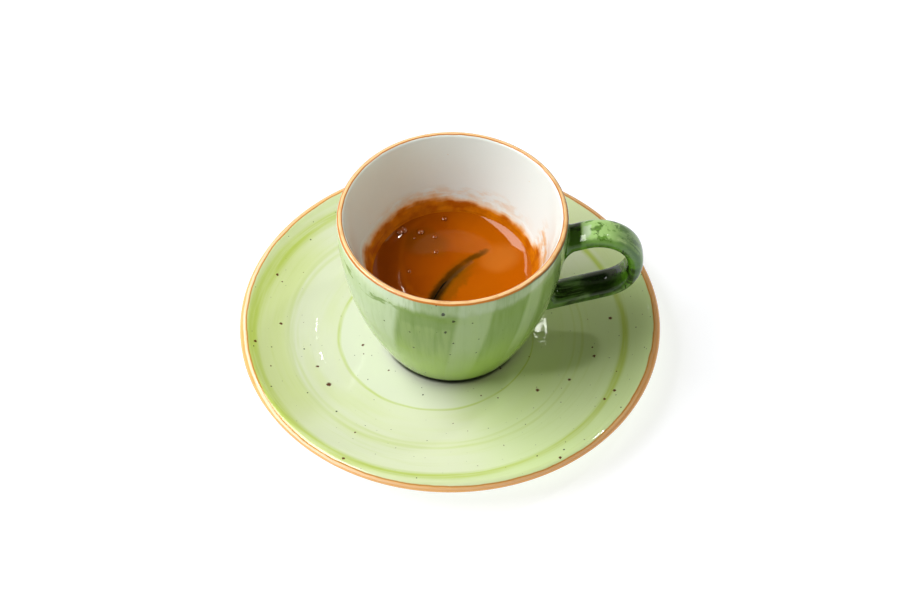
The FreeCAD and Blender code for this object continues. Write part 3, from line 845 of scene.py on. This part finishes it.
def cup_glaze(cup):
    """Upright brush strokes, partly painted light on the left and painted shade on the right, dark spots,
    the white inside, the bare rim with painted shade on its outer edge, and the foot with painted shade, in
    that order.
    """
    finish = Finish("cup_glaze")
    place = finish.place(CUP_AXIS, cup_low.z)
    x, y, z = finish.parts(place)
    along = finish.attribute("along")
    turn_x, turn_y, _ = around(x, y)
    brush = finish.brush(turn_x, turn_y)

    lean = brush(2, z * 0.03, 2) - 0.5
    front = finish.degrees(turn_x, -turn_y)
    heading = front + (46 - z) * 0.24 + lean * 5
    fine = brush(14, z * 0.05, 3, 0.6)
    hairs = brush(36, z * 0.06, 3, 0.6)
    wide = brush(3.2, z * 0.03, 2)
    thin = wide * 0
    for middle, half, soft, strength in STROKES:
        ragged = heading + (fine - 0.5) * 2.5
        stroke = ragged.band(middle - half, middle + half, soft)
        thin = thin.at_least(stroke * strength)
    low = 1 - (z + (wide - 0.5) * 14).rise(7, 33)
    finish.colour = finish.blend(fine.rise(0.35, 0.75) * 0.7, cup.leaf, cup.moss)
    finish.lay(hairs.rise(0.45, 0.85) * 0.35, cup.moss)
    upper = heading.band(-24, 4, 2) * (z + (fine - 0.5) * 6).band(37.5, 44.5, 1.2)
    finish.lay(upper * 0.45, cup.moss)
    # Darker moss towards the handle, on the side away from the light: partly brushwork, partly painted
    # shade.
    right = heading.band(20.5, 41, 1.5).at_least(heading.rise(51, 56))
    finish.lay(right * 0.5, cup.moss)
    finish.lay(low * 0.95, cup.spring)
    thin = thin * (1 - low * 0.85) * (0.75 + 0.25 * fine.rise(0.3, 0.6))
    finish.lay(thin, cup.mint)
    pale = (z + (fine - 0.5) * 6).rise(43, 46) * (1 - front.rise(-24, -14) * 0.7)
    finish.lay(pale * (0.6 + 0.4 * hairs.rise(0.35, 0.6)), cup.mint)
    smear = brush(6, z * 0.35, 3).rise(0.52, 0.6)
    high = z.band(41, 45.5, 0.8) * (1 - front.rise(-32, -24))
    finish.lay(smear * high * 0.75, cup.moss)
    per_degree = 0.53
    flat = finish.joined(front * per_degree, z)
    spots = finish.specks(flat, 8.5, 0.34, 0.5, 4.3)
    small = finish.specks(flat, 4.8, 0.2, 0.4, 21.5)
    ragged = finish.ragged(place)
    for degrees, up, radius in CUP_MARKS:
        side = (front - degrees) * per_degree
        spots = spots.at_least(finish.mark(side, (z - up) * 0.7, radius, ragged))
    finish.lay((spots * 0.9).at_least(small * 0.5), cup.soot)

    inside = 1 - along.rise(-0.55, -0.35)
    white = stained_white(finish, cup, turn_x, turn_y, z)
    dots = finish.specks(flat, 11, 0.25, 0.3, 9.2)
    white = finish.blend(dots * 0.5, white, cup.stain)
    finish.lay(inside, white)

    edge = (brush(8, z * 0.2, 3) - 0.5) * 0.4
    front_half = (-turn_y).rise(-0.2, 0.8)
    rim = (along + edge).band(-0.42 - front_half * 0.2, 0.95, 0.1)
    inner_line = (along + edge + front_half * 0.2).band(-0.55, -0.2, 0.1)
    fringe = inner_line + (along + edge).band(0.55, 1.15, 0.12)
    warm = brush(6, along * 0.4, 3)
    amber = finish.blend(warm.rise(0.45, 0.8) * 0.5, cup.rim, cup.rim_edge)
    finish.lay(rim, amber)
    finish.lay(fringe.at_most(1) * 0.9, cup.rim_edge)
    # Painted shade: a dark line on the lip's outer edge at the right and back, the side away from the
    # light.
    shaded_outer_line = (along + edge).band(0.85, 1.45, 0.12) * (turn_x + turn_y * 0.5).rise(0, 0.6)
    finish.lay(shaded_outer_line * 0.7, cup.clay)
    bare = 1 - (z + (fine - 0.5) * 0.3).rise(0.5, 0.9)
    # A dark band at the foot: partly dark glaze, partly painted shade where the cup meets the saucer.
    pooled = 1 - (z + (fine - 0.5) * 0.6).rise(1.9, 3)
    finish.lay(pooled * 0.92, cup.clay)

    dull = finish.grain(place, 0.5, 3)
    waves = finish.grain(place, 0.13, 2) + finish.grain(place, 1.1, 2) * 0.1
    return finish.glossy(0.05 + 0.05 * dull + rim * 0.08 + bare * 0.4, 1.5, waves + spots * 0.3, 0.03)


def handle_glaze(handle):
    """Mottled green, with painted light on top of the loop and a painted glare by its upper root, greyer at
    its bend, and painted shade at the upper root and inside the loop.
    """
    finish = Finish("handle_glaze")
    place = finish.place(CUP_AXIS, cup_low.z)
    x, y, z = finish.parts(place)
    middle_x, middle_z = 39.8, 31.4  # of the loop, from the cup's axis and foot
    bend_x, bend_z = x - middle_x, z - middle_z
    out_x, out_z, out = around(bend_x, bend_z)
    flow = finish.joined(out_x * 2.2, y * 0.3, out_z * 2.2)
    patches = finish.grain(flow, 1.4, 3, 0.6, 0.4)
    flecks = finish.grain(place, 0.34, 3, 0.6, 0.4)
    streaks = finish.grain(finish.joined(out_x * 1.6, y * 1.3, out_z * 1.6), 1.1, 3, 0.6)
    finish.colour = finish.blend(patches.rise(0.36, 0.6), handle.deep, handle.green)
    outer = (out + (flecks - 0.5) * 0.8).rise(10.6, 11.6)
    upper = bend_z.rise(2, 6)
    middle = 1 - (abs(y) + (flecks - 0.5) * 3).rise(2.7, 4.2)
    # Painted light: paler green on top of the upper arm, where the light falls.
    lit_top = upper * bend_x.rise(-4.6, -3.9) * outer * (0.55 + 0.45 * middle)
    patchy = 1 - (flecks + (patches - 0.5) * 0.3).rise(0.53, 0.62) * 0.75
    finish.lay(lit_top * patchy, handle.pale)
    bend = bend_x.rise(3, 9) * bend_z.rise(-7, 0) * outer
    finish.lay(bend * (0.6 + 0.4 * streaks.rise(0.4, 0.62)), handle.grey)
    # Painted reflection: a whitish glare on the upper arm near its root.
    patch = (bend_x + (flecks - 0.5) * 2).band(-3.9, -1.5, 0.5) * upper * outer
    patch = patch * (1 - (abs(y + 0.6) + (patches - 0.5) * 4).rise(1.2, 2.4))
    finish.lay(patch * 0.6, handle.root_glare)
    rim = abs(y).rise(3.3, 4.1) * upper * (1 - bend_x.rise(6, 9))
    finish.lay(rim * 0.6, handle.green)
    # Painted shade: deep green at the upper root, where the cup shades the arm.
    root = 1 - (bend_x + (flecks - 0.5) * 1.4).rise(-4.8, -3.9)
    finish.lay(root * upper * patches.rise(0.3, 0.6) * 0.45, handle.deep)
    # Painted shade: the lower arm darkened and its inner face made almost black, where the cup and the
    # upper arm shade it, over the arm's darker glaze.
    lower = 1 - bend_z.rise(-7, -3)
    inner = 1 - (out + (flecks - 0.5)).rise(10.2, 11.6)
    finish.lay(lower * (1 - bend_x.rise(6, 11)) * 0.55, handle.deep)
    finish.lay(lower * inner * (1 - bend_x.rise(3, 8)) * 0.85, handle.deep)
    run = lower * (1 - inner) * streaks.rise(0.46, 0.66)
    finish.lay(run * 0.3, handle.pale)
    marks = finish.specks(finish.joined(x, y + z * 0.3), 4.5, 0.4, 0.5, 2.4)
    finish.lay(marks * 0.85, handle.deep)
    waves = finish.grain(place, 0.16, 2) + flecks * 0.2
    return finish.glossy(0.05 + 0.06 * flecks, 1.5, waves, 0.04)


class ESPRESSO_OT_cup(bpy.types.Operator):
    """Make the cup and its handle with their brushed glaze"""

    bl_idname = "espresso.cup"
    bl_label = "Cup"

    def execute(self, context):
        cup = context.scene.espresso_cup
        handle = context.scene.espresso_handle
        mesh = make_cup_form(cup)
        for vert in mesh.verts:
            vert.co = sway_cup(cup, vert.co)
        make_piece("painted_cup", mesh, cup_glaze(cup), ["cup"])
        mesh = make_handle_form(cup, handle)
        for vert in mesh.verts:
            vert.co = sway_cup(cup, vert.co)
        make_piece("painted_handle", mesh, handle_glaze(handle))
        return {"FINISHED"}


def streak_gap(drink, across, back):
    """How far a point of the surface lies from the streak's middle line, from the cup's axis."""
    side = across - drink.streak_x
    rear = back + drink.streak_y
    turn = math.atan2(rear, side)
    turn = min(max(turn, drink.streak_first), drink.streak_last)
    if rear < 0:
        turn = drink.streak_last
    near_x = drink.streak_x + drink.streak_curve * math.cos(turn)
    near_y = drink.streak_curve * math.sin(turn) - drink.streak_y
    return math.hypot(across - near_x, back - near_y)


def foam_height(drink, across, back, limit):
    """Height of the foam above its level middle."""
    reach = math.hypot(across, back)
    climb = drink.climb * math.exp(-(limit - reach) / drink.climb_width)
    parted = drink.groove * math.exp(-((streak_gap(drink, across, back) / (0.9 * MM)) ** 2))
    ripple = noise.noise(Vector((across, back, 0)) / (8 * MM)) * 0.012 * MM
    return climb - parted + ripple


def make_foam_form(cup, drink):
    """The foam, which climbs at the wall and has a shallow groove along the streak."""
    level = crema_high.z - cup_low.z
    bottom = crema_low.z - cup_low.z
    tuck = 0.2 * MM
    top_reach = hollow_reach(cup, level) + tuck
    bottom_reach = hollow_reach(cup, bottom) + tuck
    section = Section(CUP_AXIS, cup_low.z)
    section.start(0, level)
    section.line(top_reach, level, 96)
    section.line(bottom_reach, bottom, 6)
    section.line(0, bottom, 12)
    mesh = section.spin(drink.steps)
    middle = crema_high.z - drink.sink
    for vert in mesh.verts:
        if vert.co.z > crema_high.z - WELD:
            across, back = vert.co.x - CUP_AXIS, vert.co.y
            vert.co.z = middle + foam_height(drink, across, back, top_reach)
    return mesh


def foam_finish(drink):
    """Orange and brown foam with its paler patch and swirl, darkening to the coffee along the streak."""
    finish = Finish("foam")
    place = finish.place(CUP_AXIS, crema_high.z)
    x, y, _ = finish.parts(place)
    warp = finish.grain(place, 0.09, 2) - 0.5
    warp_two = finish.grain(finish.joined(y, x, 7), 0.11, 2) - 0.5
    flow = finish.joined(x + warp * 9, y + warp_two * 9)
    broad = finish.grain(flow, 0.06, 2, 0.5)
    wisps = finish.grain(finish.joined(x * 0.4 + warp * 5, y + warp_two * 9), 0.22, 3, 0.5)
    # Browner towards the left: partly random variation, partly painted shade where the cup's wall shades
    # the foam.
    brightness = (x * 0.03 + broad).rise(0.1, 0.8)
    finish.colour = finish.blend(brightness, drink.brown, drink.orange)
    finish.lay(wisps.rise(0.5, 0.85) * 0.18, drink.orange)
    patch = finish.oval((x - 13.5) / 6, (y - 6.5) / 5.5, warp * 1.5, 1.3)
    finish.lay(patch * 0.32, drink.peach)
    patch = finish.oval((x + 8) / 7, (y - 12) / 5, warp * 2, 1.5)
    finish.lay(patch * 0.28, drink.olive)
    swirl = abs((((x - 3) ** 2 + (y - 6) ** 2) ** 0.5) - 17.9 + warp * 4)
    swirl = (1 - swirl.rise(0.1, 1.1)) * (-x).rise(4, 10)
    finish.lay(swirl * 0.4, drink.orange)

    bend_x = x - drink.streak_x / MM
    bend_y = y + drink.streak_y / MM
    _, _, reach = around(bend_x, bend_y)
    heading = finish.degrees(bend_y, -bend_x)
    ragged = finish.grain(finish.joined(x, y, 3), 0.45, 3, 0.6) - 0.5
    side = reach - drink.streak_curve / MM + ragged * 1.3
    first = 180 - math.degrees(drink.streak_first)
    along = 1 - heading.rise(first - 9, first + 6)
    spread = heading.rise(first - 40, first)
    fringe = (1 - abs(side + 0.6).rise(0.3, 4)) * along
    core = (1 - abs(side).rise(0.7, 3 - spread * 1.3)) * along * (1 - spread * 0.5)
    second = (1 - abs(side + 3.4 + ragged * 3).rise(0.4, 2.2)) * heading.band(22, 44, 6)
    finish.lay((fringe * 0.7).at_least(second * 0.45), drink.olive)
    side = (x - 6.8 + ragged * 2) / 4.2
    rear = (y - 7.7 - (x - 6.8) * 0.62 + ragged * 2) / 1.5
    tail = 1 - (side * side + rear * rear).rise(0.05, 1.2)
    finish.lay(tail * 0.75, finish.blend(0.5, drink.olive, drink.coffee))
    finish.lay(core, drink.coffee)
    fine = finish.grain(place, 3.5, 2)
    waves = finish.grain(flow, 0.2, 2) + fine * 0.03
    return finish.glossy(0.04 + 0.04 * fine, 1.4, waves, 0.015)


class ESPRESSO_OT_foam(bpy.types.Operator):
    """Make the foam that covers the coffee"""

    bl_idname = "espresso.foam"
    bl_label = "Foam"

    def execute(self, context):
        drink = context.scene.espresso_drink
        mesh = make_foam_form(context.scene.espresso_cup, drink)
        make_piece("coffee_foam", mesh, foam_finish(drink), ["crema"])
        return {"FINISHED"}


def make_coffee_form(cup, steps=144):
    """The coffee's body under the foam."""
    top = crema_low.z - cup_low.z
    section = Section(CUP_AXIS, cup_low.z)
    across, up, turn = draw_hollow(section, cup, 4, 14)
    section.arc(across, up, turn - math.asin((up - top) / cup.hollow), 20)
    section.line(0, top, 24)
    return section.spin(steps)


def add_streak_core(mesh, drink):
    """The bare coffee that stands in the parted foam: a low rounded ridge along the streak."""
    sides = 12
    steps = 70
    made = bmesh.ops.create_circle(mesh, cap_ends=True, radius=1, segments=sides)
    loop = made["verts"]
    canon = [vert.co.copy() for vert in loop]
    level = crema_high.z - drink.sink - 0.05 * MM
    first, last = drink.streak_last, drink.streak_first + math.radians(9)
    for step in range(steps + 1):
        share = step / steps
        turn = first + (last - first) * share
        outwards = Vector((math.cos(turn), math.sin(turn), 0))
        waver = noise.noise(Vector((share * 9, 2, 4)))
        wide = drink.ridge * (1.7 - 1.1 * share + 0.7 * waver) * (1 - ease(share, 0.7, 1) * 0.9)
        reach = drink.streak_curve + 0.25 * MM * noise.noise(Vector((share * 6, 8, 1)))
        middle = Vector((CUP_AXIS + drink.streak_x, -drink.streak_y, level - 0.8 * MM))
        if step:
            loop = grow_ring(mesh, loop)
        for vert, corner in zip(loop, canon):
            vert.co = middle + outwards * (reach + corner.x * wide)
            vert.co.z += corner.y * (0.72 - 0.2 * ease(share, 0.6, 1)) * MM
    bmesh.ops.contextual_create(mesh, geom=loop)


def coffee_finish(drink):
    """Almost black, with a brown mottle."""
    finish = Finish("black_coffee")
    place = finish.place(CUP_AXIS, crema_high.z)
    mottle = finish.grain(place, 0.5, 3)
    finish.colour = finish.blend(mottle.rise(0.45, 0.8) * 0.35, drink.coffee, drink.brown)
    return finish.done(Base_Color=finish.colour, Roughness=0.05 + 0.04 * mottle, IOR=1.34)


class ESPRESSO_OT_coffee(bpy.types.Operator):
    """Make the clear coffee under the foam and along its dark streak"""

    bl_idname = "espresso.coffee"
    bl_label = "Coffee"

    def execute(self, context):
        drink = context.scene.espresso_drink
        mesh = make_coffee_form(context.scene.espresso_cup)
        add_streak_core(mesh, drink)
        bmesh.ops.recalc_face_normals(mesh, faces=mesh.faces)
        make_piece("clear_coffee", mesh, coffee_finish(drink), ["coffee"])
        return {"FINISHED"}


FILM_EDGE = (
    # direction from the handle in degrees, and the film's upper edge below the rim in millimetres
    (-170, 17.0),
    (-140, 18.4),
    (-105, 19.2),
    (-70, 18.6),
    (-35, 18.0),
    (-5, 17.0),
    (9, 17.2),
    (20, 20.0),
    (55, 20.3),
    (83, 20.0),
    (95, 18.8),
    (106, 17.2),
    (122, 17.0),
    (140, 18.6),
    (158, 17.8),
    (175, 16.2),
)


def film_edge(degrees):
    """Depth below the rim of the film's upper edge, in one direction."""
    pairs = FILM_EDGE + ((FILM_EDGE[0][0] + 360, FILM_EDGE[0][1]),)
    if degrees < pairs[0][0]:
        degrees += 360
    for (first, first_depth), (second, second_depth) in zip(pairs, pairs[1:]):
        if degrees <= second:
            break
    share = ease(degrees, first, second)
    tatter = noise.noise(Vector((math.radians(degrees) * 7, 3, 1)))
    fine = noise.noise(Vector((math.radians(degrees) * 22, 6, 2)))
    return (first_depth - 1.3 + (second_depth - first_depth) * share + 0.4 * tatter + 0.12 * fine) * MM


def make_film_form(cup, drink):
    """A thin skin on the cup's inside wall, closed behind in the wall and thinning to a ragged edge."""
    rows = 30
    start = crema_high.z - cup_low.z - 0.9 * MM
    buried = 0.5 * MM
    section = Section(CUP_AXIS, cup_low.z)
    section.start(hollow_reach(cup, start) + buried, start)
    section.line(hollow_reach(cup, start), start)
    section.line(hollow_reach(cup, start), start + 8 * MM, rows)
    section.line(hollow_reach(cup, start) + buried, start + 8 * MM)
    mesh = section.mesh
    for index, vert in enumerate(mesh.verts):
        vert[section.along] = (index - 1) / rows
    section.line(hollow_reach(cup, start) + buried, start)
    section.tip[section.along] = -1 / rows
    section.spin(480)
    along = mesh.verts.layers.float["along"]
    for vert in mesh.verts:
        turn = math.atan2(vert.co.y, vert.co.x - CUP_AXIS)
        share = min(max(vert[along], 0), 1)
        edge = CUP_HEIGHT - film_edge(math.degrees(turn))
        up = start + (edge - start) * share
        thick = drink.film * (1 - share) ** 1.3
        thick += 0.03 * MM * noise.noise(Vector((turn * 8, up / MM * 0.8, 3))) * (1 - share)
        if share != vert[along]:
            thick = -buried
        reach = hollow_reach(cup, up) - thick
        vert.co = Vector((CUP_AXIS + reach * math.cos(turn), reach * math.sin(turn), cup_low.z + up))
        vert.co = sway_cup(cup, vert.co)
    bmesh.ops.recalc_face_normals(mesh, faces=mesh.faces)
    return mesh


def film_finish(cup, drink):
    """Foam that thins upwards to a haze and then to the white glaze behind it."""
    finish = Finish("foam_film")
    place = finish.place(CUP_AXIS, cup_low.z)
    x, y, z = finish.parts(place)
    along = finish.attribute("along")
    turn_x, turn_y, _ = around(x, y)
    brush = finish.brush(turn_x, turn_y)
    runs = brush(5, z * 0.3, 3, 0.5)
    lines = brush(1.6, z * 1.3, 2, 0.5)
    finish.colour = finish.blend(runs.rise(0.3, 0.75), drink.orange, drink.residue)
    finish.lay(lines.rise(0.5, 0.75) * 0.45, drink.brown)
    high = along + (runs - 0.5) * 0.4 + (lines - 0.5) * 0.2
    finish.lay(high.rise(0.56, 0.76) * 0.9, drink.haze)
    cleared = high.rise(0.64, 0.95).at_least(along.rise(0.8, 0.97))
    white = stained_white(finish, cup, turn_x, turn_y, z)
    finish.lay(cleared, white)
    return finish.glossy(0.16 + 0.1 * runs, 1.38, runs * 0.6 + lines * 0.4, 0.04)


class ESPRESSO_OT_film(bpy.types.Operator):
    """Make the thin foam left on the cup's wall above the drink"""

    bl_idname = "espresso.film"
    bl_label = "Film on the wall"

    def execute(self, context):
        drink = context.scene.espresso_drink
        mesh = make_film_form(context.scene.espresso_cup, drink)
        make_piece("wall_film", mesh, film_finish(context.scene.espresso_cup, drink))
        return {"FINISHED"}


BUBBLES = (
    # across and back from the cup's axis, and radius, in millimetres
    (-15.1, 15.3, 1.1),
    (-14.1, 16.0, 1.3),
    (-9.1, 16.2, 1.1),
    (-10.7, 14.0, 0.5),
    (-5.1, 14.7, 0.75),
    (-4.7, 9.1, 0.7),
    (-2.3, 20.6, 0.8),
    (-12.2, 1.8, 0.6),
)


def make_bubbles_form(cup, drink):
    """Small domes of foam, joined in one mesh."""
    mesh = bmesh.new()
    flatness = 0.5
    limit = hollow_reach(cup, crema_high.z - cup_low.z)
    for across, back, radius in BUBBLES:
        ball = bmesh.ops.create_icosphere(mesh, subdivisions=3, radius=radius * MM)
        up = crema_high.z - drink.sink + foam_height(drink, across * MM, back * MM, limit)
        spot = Vector((CUP_AXIS + across * MM, back * MM, up))
        bmesh.ops.scale(mesh, verts=ball["verts"], vec=(1, 1, flatness))
        bmesh.ops.translate(mesh, verts=ball["verts"], vec=spot)
    return mesh


class ESPRESSO_OT_bubbles(bpy.types.Operator):
    """Make the few larger bubbles on the foam"""

    bl_idname = "espresso.bubbles"
    bl_label = "Bubbles"

    def execute(self, context):
        drink = context.scene.espresso_drink
        mesh = make_bubbles_form(context.scene.espresso_cup, drink)
        finish = Finish("bubbles")
        place = finish.place(CUP_AXIS, crema_high.z)
        mottle = finish.grain(place, 1.5, 2)
        finish.colour = finish.blend(mottle * 0.4, drink.brown, drink.orange)
        skin = finish.done(Base_Color=finish.colour, Roughness=0.02 + 0.02 * mottle, IOR=2.2)
        make_piece("foam_bubbles", mesh, skin)
        return {"FINISHED"}


def polar(turn, height, distance):
    """A point seen from the middle of the saucer in a direction, at a height and a distance."""
    level = math.cos(height)
    return Vector((level * math.cos(turn), level * math.sin(turn), math.sin(height))) * distance


SMALL_LAMPS = (
    # name, direction from the handle and height in degrees, distance, width and length in millimetres,
    # power in watts and colour
    ("fill", 0, 35, 1000, 400, 400, 1.0, (255, 255, 208)),
    ("glint", 30, 62, 890, 45, 45, 0.6, (255, 255, 255)),
    ("spark", 86, 49, 890, 5, 5, 0.01, (255, 255, 255)),
    ("bead", 85, 50.62, 890, 4.5, 9, 0.002, (255, 255, 255)),
    ("side", 138, 39, 1000, 340, 110, 0.6, (255, 255, 255)),
)


def add_light(name, place, wide, tall, power, colour=(1, 1, 1)):
    light = bpy.data.lights.new(name, "AREA")
    light.shape = "RECTANGLE"
    light.size = wide
    light.size_y = tall
    light.energy = power
    light.color = colour
    lamp = add_object(name, light)
    lamp.location = place
    lamp.rotation_euler = (-place).to_track_quat("-Z", "Y").to_euler()


def make_floor(stage):
    mesh = bmesh.new()
    bmesh.ops.create_grid(mesh, x_segments=2, y_segments=2, size=4)
    material = Finish("floor").done(
        Base_Color=tuple(stage.floor),
        Roughness=0.7,
        Specular_IOR_Level=0.1,
        Emission_Color=(1, 1, 1),
        Emission_Strength=stage.floor_glow,
    )
    add_mesh("floor", mesh, material)


def make_world(stage):
    """White surroundings near the level, and a dimmer room above."""
    world = bpy.data.worlds.new("studio")
    world.use_nodes = True
    tree = world.node_tree
    background = tree.nodes["Background"]
    spots = tree.nodes.new("ShaderNodeTexCoord")
    split = tree.nodes.new("ShaderNodeSeparateXYZ")
    tree.links.new(spots.outputs["Generated"], split.inputs[0])
    fall = tree.nodes.new("ShaderNodeMapRange")
    fall.interpolation_type = "SMOOTHSTEP"
    low, high = math.radians(18), math.radians(33)
    limits = {"From Min": math.sin(low), "From Max": math.sin(high), "To Min": stage.horizon}
    for name, value in {**limits, "To Max": stage.sky}.items():
        fall.inputs[name].default_value = value
    tree.links.new(split.outputs["Z"], fall.inputs["Value"])
    tree.links.new(fall.outputs[0], background.inputs["Strength"])
    background.inputs["Color"].default_value = (*stage.horizon_tint, 1)
    bpy.context.scene.world = world


def make_camera(stage):
    aim = Vector((0, stage.aim_back, cup_low.z))
    camera = bpy.data.cameras.new("camera")
    camera.lens = stage.lens
    viewer = add_object("camera", camera)
    viewer.location = aim + polar(-math.pi / 2, stage.elevation, stage.distance)
    viewer.rotation_euler = (math.pi / 2 - stage.elevation, 0, 0)
    bpy.context.scene.camera = viewer


class ESPRESSO_OT_stage(bpy.types.Operator):
    """Set out the floor, the studio light and the camera"""

    bl_idname = "espresso.stage"
    bl_label = "Stage"

    def execute(self, context):
        stage = context.scene.espresso_stage
        make_floor(stage)
        make_world(stage)
        key = polar(stage.key_turn, stage.key_height, stage.key_distance)
        add_light("key", key, stage.key_wide, stage.key_tall, stage.key_power)
        for name, turn, height, distance, wide, tall, power, levels in SMALL_LAMPS:
            place = polar(math.radians(turn), math.radians(height), distance * MM)
            add_light(name, place, wide * MM, tall * MM, power, [linear(level) for level in levels])
        make_camera(stage)
        context.scene.view_settings.view_transform = "Standard"
        context.scene.view_settings.gamma = stage.contrast
        return {"FINISHED"}


class ESPRESSO_PT_panel(bpy.types.Panel):
    """Lists the pieces and the sizes and colours that they are made from"""

    bl_label = "Espresso"
    bl_idname = "ESPRESSO_PT_panel"
    bl_space_type = "VIEW_3D"
    bl_region_type = "UI"
    bl_category = "Espresso"

    def draw(self, context):
        for operator in OPERATORS:
            self.layout.operator(operator.bl_idname)
        for name, group in GROUPS.items():
            box = self.layout.box()
            box.label(text=name.replace("espresso_", "").capitalize())
            for field in group.__annotations__:
                box.prop(getattr(context.scene, name), field)


GROUPS = {
    "espresso_saucer": SaucerSettings,
    "espresso_cup": CupSettings,
    "espresso_handle": HandleSettings,
    "espresso_drink": DrinkSettings,
    "espresso_stage": StageSettings,
}
OPERATORS = (
    ESPRESSO_OT_stage,
    ESPRESSO_OT_saucer,
    ESPRESSO_OT_cup,
    ESPRESSO_OT_coffee,
    ESPRESSO_OT_foam,
    ESPRESSO_OT_film,
    ESPRESSO_OT_bubbles,
)
CLASSES = (*GROUPS.values(), *OPERATORS, ESPRESSO_PT_panel)


def register():
    for item in CLASSES:
        bpy.utils.register_class(item)
    for name, group in GROUPS.items():
        setattr(bpy.types.Scene, name, PointerProperty(type=group))


def unregister():
    for name in GROUPS:
        delattr(bpy.types.Scene, name)
    for item in reversed(CLASSES):
        bpy.utils.unregister_class(item)


def main():
    register()
    bpy.ops.espresso.stage()
    bpy.ops.espresso.saucer()
    bpy.ops.espresso.cup()
    bpy.ops.espresso.coffee()
    bpy.ops.espresso.foam()
    bpy.ops.espresso.film()
    bpy.ops.espresso.bubbles()


if __name__ == "__main__":
    main()
